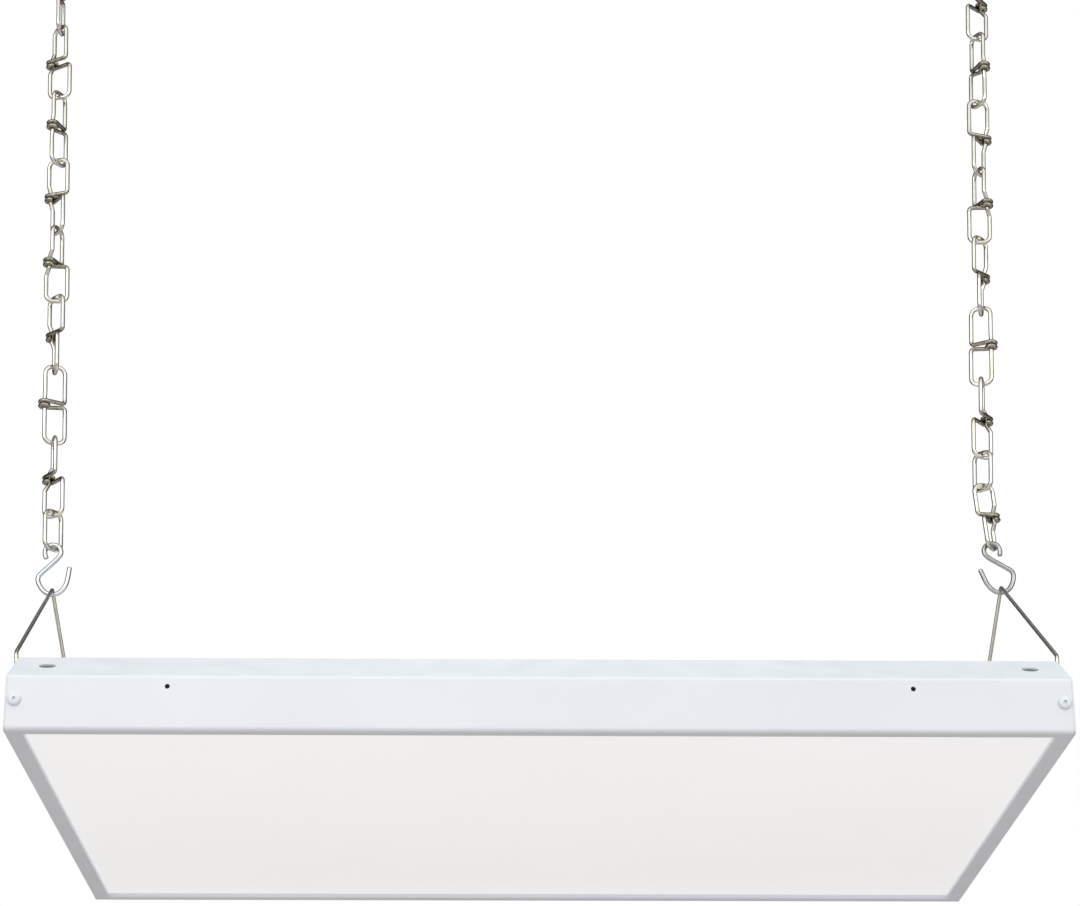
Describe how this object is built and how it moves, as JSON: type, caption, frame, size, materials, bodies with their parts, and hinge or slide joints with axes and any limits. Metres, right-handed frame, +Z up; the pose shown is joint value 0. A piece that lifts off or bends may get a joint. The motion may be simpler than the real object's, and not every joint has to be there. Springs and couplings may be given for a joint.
{
  "type": "hanging led panel grow lamp",
  "caption": "Shallow white sheet-steel LED panel lamp with sloped shoulders and an opal diffuser, hung from wire hangers, S-hooks and double-loop chains on ceiling screw hooks.",
  "frame": {"origin": "on the ceiling plane, over the lamp's middle", "axes": "+X along the lamp to its right end, +Y from its front to its back, +Z up into the ceiling"},
  "size_m": [0.6734, 0.4548, 0.6778],
  "materials": {
    "white_powder_coat": "satin white powder coat",
    "reflector_white": "gloss white reflector paint",
    "opal_acrylic": "opal diffuser sheet",
    "chain_zinc": "zinc-plated wire with an olive-yellow passivated tint",
    "hook_zinc": "bright zinc-plated wire",
    "hanger_wire": "drawn spring wire, slightly brown",
    "led_board": "white solder mask",
    "driver_case": "plain extruded case",
    "ground_brass": "plain brass",
    "black_nylon": "moulded black nylon",
    "terminal_nylon": "moulded natural nylon",
    "lead_insulation": "smooth wire insulation"
  },
  "bodies": {
    "ceiling_hooks": {"ceiling_hook_left": "hook_zinc", "ceiling_hook_right": "hook_zinc"},
    "left_top_link": {"top_link_left": "chain_zinc"},
    "right_top_link": {"top_link_right": "chain_zinc"},
    "left_chain": {"chain_ring_left_1": "chain_zinc", "chain_link_left_2": "chain_zinc", "chain_link_left_3": "chain_zinc", "chain_link_left_4": "chain_zinc", "chain_link_left_5": "chain_zinc", "chain_link_left_6": "chain_zinc", "chain_link_left_7": "chain_zinc", "chain_link_left_8": "chain_zinc"},
    "right_chain": {"chain_link_right_1": "chain_zinc", "chain_ring_right_2": "chain_zinc", "chain_link_right_3": "chain_zinc", "chain_link_right_4": "chain_zinc", "chain_link_right_5": "chain_zinc", "chain_link_right_6": "chain_zinc", "chain_link_right_7": "chain_zinc", "chain_link_right_8": "chain_zinc"},
    "left_s_hook": {"s_hook_left": "hook_zinc"},
    "right_s_hook": {"s_hook_right": "hook_zinc"},
    "lamp": {"housing_shell": "white_powder_coat", "end_cap_left": "white_powder_coat", "end_cap_right": "white_powder_coat", "end_screw_front_left": "white_powder_coat", "end_screw_front_right": "white_powder_coat", "end_screw_back_left": "white_powder_coat", "end_screw_back_right": "white_powder_coat", "diffuser": "opal_acrylic", "cord_gland": "black_nylon", "reflector_tray": "reflector_white", "led_board_1": "led_board", "led_board_2": "led_board", "led_board_3": "led_board", "led_board_4": "led_board", "led_board_5": "led_board", "led_driver_left": "driver_case", "led_driver_right": "driver_case", "driver_screw_left_a": "hook_zinc", "driver_screw_left_b": "hook_zinc", "driver_screw_right_a": "hook_zinc", "driver_screw_right_b": "hook_zinc", "standoff_1": "driver_case", "standoff_2": "driver_case", "standoff_3": "driver_case", "standoff_4": "driver_case", "tray_screw_1": "hook_zinc", "tray_screw_2": "hook_zinc", "tray_screw_3": "hook_zinc", "tray_screw_4": "hook_zinc", "terminal_block": "terminal_nylon", "ground_screw": "ground_brass", "mains_lead": "lead_insulation", "driver_lead_left": "lead_insulation", "driver_lead_right": "lead_insulation", "gland_nut": "black_nylon", "v_hanger_left": "hanger_wire", "v_hanger_right": "hanger_wire"}
  },
  "joints": [
    {"name": "swing_fore_aft", "type": "hinge", "parent": "ceiling_hooks", "child": "left_top_link", "pos_m": [-0.33388, 0, -0.036], "axis": [1, 0, 0], "range_deg": [-15, 15]},
    {"name": "right_swing_fore_aft", "type": "hinge", "parent": "ceiling_hooks", "child": "right_top_link", "pos_m": [0.31571, 0, -0.036], "axis": [1, 0, 0], "range_deg": [-15, 15]},
    {"name": "swing_side", "type": "hinge", "parent": "left_top_link", "child": "left_chain", "pos_m": [-0.33185, 0, -0.08631], "axis": [0, 1, 0], "range_deg": [-6, 6]},
    {"name": "right_swing_side", "type": "hinge", "parent": "right_top_link", "child": "right_chain", "pos_m": [0.3136, 0, -0.08631], "axis": [0, 1, 0], "range_deg": [-6.1, 6.1]},
    {"name": "left_s_hook_turn", "type": "hinge", "parent": "left_chain", "child": "left_s_hook", "pos_m": [-0.31631, 0, -0.46979], "axis": [0, 1, 0], "range_deg": [-6.3, 6.3]},
    {"name": "right_s_hook_turn", "type": "hinge", "parent": "right_chain", "child": "right_s_hook", "pos_m": [0.303, 0, -0.46595], "axis": [0, 1, 0], "range_deg": [-6.4, 6.4]},
    {"name": "lamp_tilt", "type": "hinge", "parent": "left_s_hook", "child": "lamp", "pos_m": [-0.31474, 0, -0.50245], "axis": [1, 0, 0], "range_deg": [-12, 12]}
  ],
  "couplings": [
    {"joint": "right_swing_fore_aft", "follows": "swing_fore_aft", "ratio": 1},
    {"joint": "right_swing_side", "follows": "swing_side", "ratio": 1.0106},
    {"joint": "left_s_hook_turn", "follows": "swing_side", "ratio": -1.0426},
    {"joint": "right_s_hook_turn", "follows": "swing_side", "ratio": -1.0532}
  ]
}
